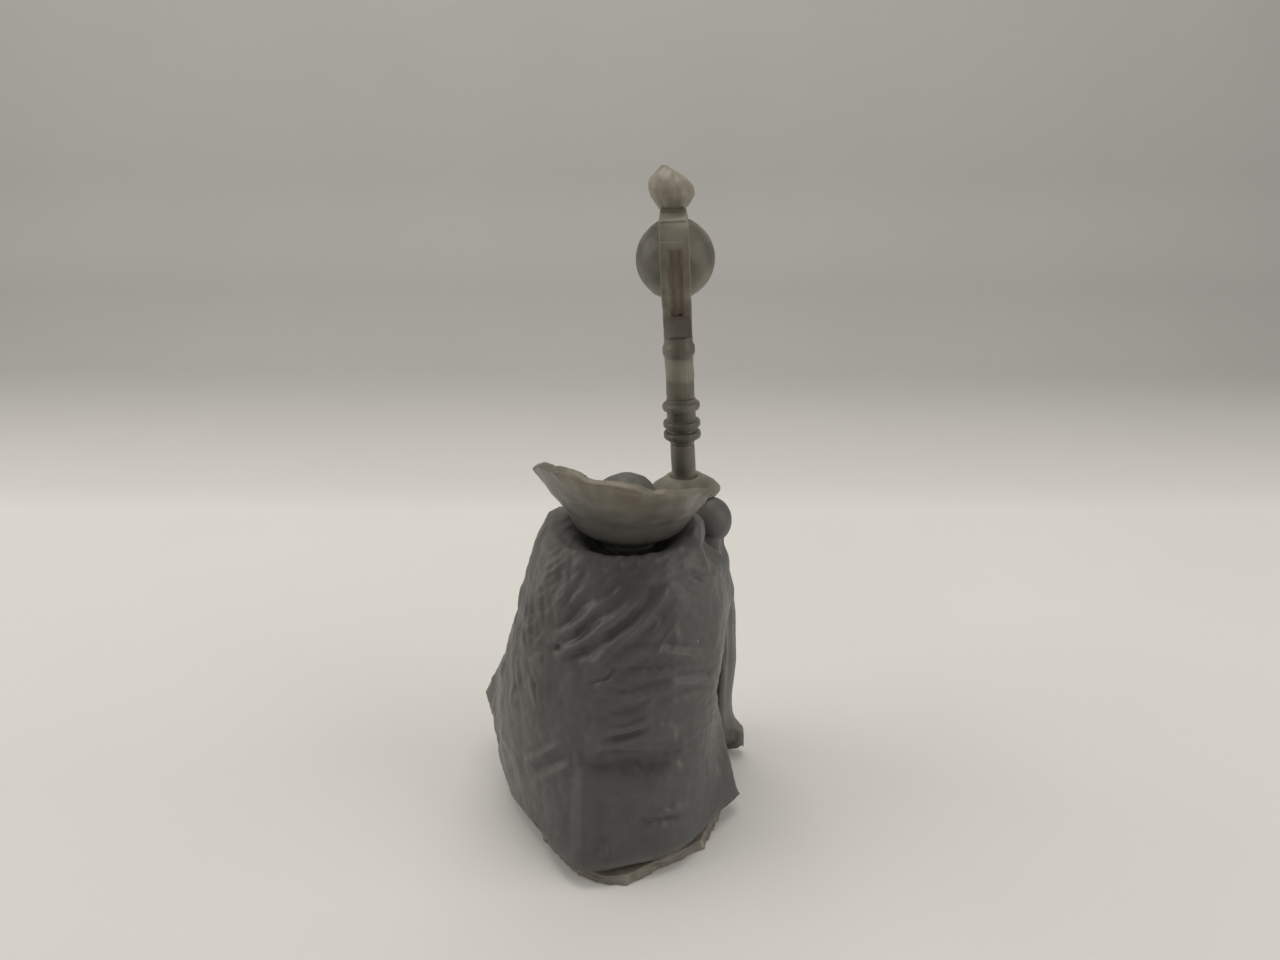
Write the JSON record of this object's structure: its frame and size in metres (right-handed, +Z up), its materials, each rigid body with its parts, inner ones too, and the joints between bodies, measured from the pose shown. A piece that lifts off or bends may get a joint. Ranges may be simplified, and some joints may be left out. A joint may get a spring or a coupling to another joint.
{
  "type": "figurine",
  "caption": "Hooded robed figurine with a long swept cloak, a flared standing collar and a tall staff that holds an orb, on a thin ragged base plate.",
  "frame": {"origin": "underside of the base plate, under the figure's spine", "axes": "+Z up, -Y the way the figure faces, +X the figure's own left"},
  "size_m": [0.0289, 0.0295, 0.0599],
  "materials": {
    "plate_resin": "satin",
    "robe_resin": "satin",
    "cloak_resin": "satin",
    "collar_resin": "satin",
    "skin_resin": "satin",
    "staff_resin": "satin"
  },
  "bodies": {
    "root": {"base_plate": "plate_resin", "robe_skirt": "robe_resin", "robe_torso": "robe_resin", "girdle": "robe_resin", "cloak": "cloak_resin", "cloak_clasp": "robe_resin", "collar": "collar_resin", "head": "skin_resin", "hood": "robe_resin", "right_sleeve": "robe_resin", "left_sleeve": "robe_resin", "right_hand": "skin_resin", "left_hand": "skin_resin", "staff_ferrule": "staff_resin", "staff_shaft": "staff_resin", "hand_guard": "staff_resin", "staff_knop": "staff_resin", "staff_neck": "staff_resin", "orb_yoke": "staff_resin", "orb": "staff_resin", "finial": "staff_resin"}
  },
  "joints": []
}
